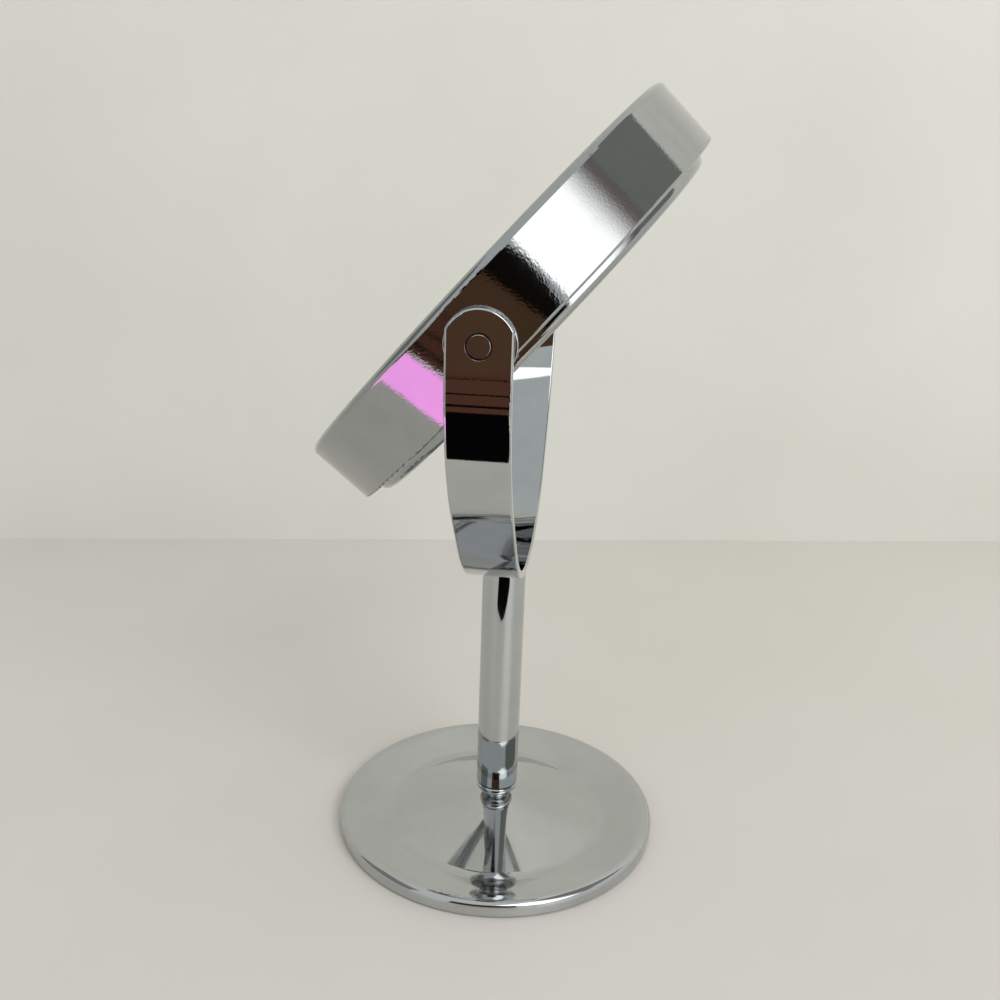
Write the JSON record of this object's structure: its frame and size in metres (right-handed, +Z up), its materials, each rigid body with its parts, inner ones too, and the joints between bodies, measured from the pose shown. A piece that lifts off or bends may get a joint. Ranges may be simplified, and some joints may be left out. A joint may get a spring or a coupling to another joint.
{
  "type": "pedestal table mirror",
  "caption": "Two-sided round table mirror: a wide bright rim with a plain and a hollow magnifying glass, turning in a U-shaped yoke on a tube stem and a dished round base.",
  "frame": {"origin": "centre of the underside of the foot pad, on the surface that the mirror stands on", "axes": "+Z up along the stem, X along the pivot axis through the yoke's ears, -Y towards the person using it: the plain glass looks towards -Y and up, tilted as it was left"},
  "size_m": [0.1576, 0.115, 0.2475],
  "materials": {
    "plated_base": "bright chrome plating on a smooth casting",
    "plated_tube": "bright chrome plating on drawn tube",
    "polished_strip": "polished and plated steel strip",
    "plated_plastic": "bright plating on moulded plastic, fine orange peel",
    "mirror_glass": "silvered glass",
    "moulded_core": "plain moulded plastic",
    "inner_foam": "closed-cell foam",
    "foot_foam": "fine-celled non-slip foam sheet",
    "black_plastic": "dull black washer",
    "zinc_screw": "zinc-plated steel",
    "turned_steel": "turned steel",
    "turned_brass": "turned brass",
    "polished_pin": "turned and plated",
    "polished_washer": "plated steel washer"
  },
  "bodies": {
    "stand": {"base_casting": "plated_base", "foot_pad": "foot_foam", "tie_screw": "zinc_screw", "stem_gasket": "black_plastic", "stem_tube": "plated_tube", "lower_insert": "turned_steel", "upper_insert": "turned_steel", "yoke": "polished_strip", "yoke_washer": "zinc_screw", "yoke_screw": "zinc_screw"},
    "head": {"rim_shell": "plated_plastic", "front_glass": "mirror_glass", "front_foam": "inner_foam", "core_frame": "moulded_core", "back_foam": "inner_foam", "back_glass": "mirror_glass", "back_bezel": "plated_plastic", "pivot_bush_right": "turned_brass", "pivot_bush_left": "turned_brass", "pivot_pin_right": "polished_pin", "pivot_pin_left": "polished_pin", "friction_washer_right": "polished_washer", "friction_washer_left": "polished_washer"}
  },
  "joints": [
    {"name": "head_tilt", "type": "hinge", "parent": "stand", "child": "head", "pos_m": [0, 0, 0.183], "axis": [1, 0, 0], "continuous": true}
  ]
}
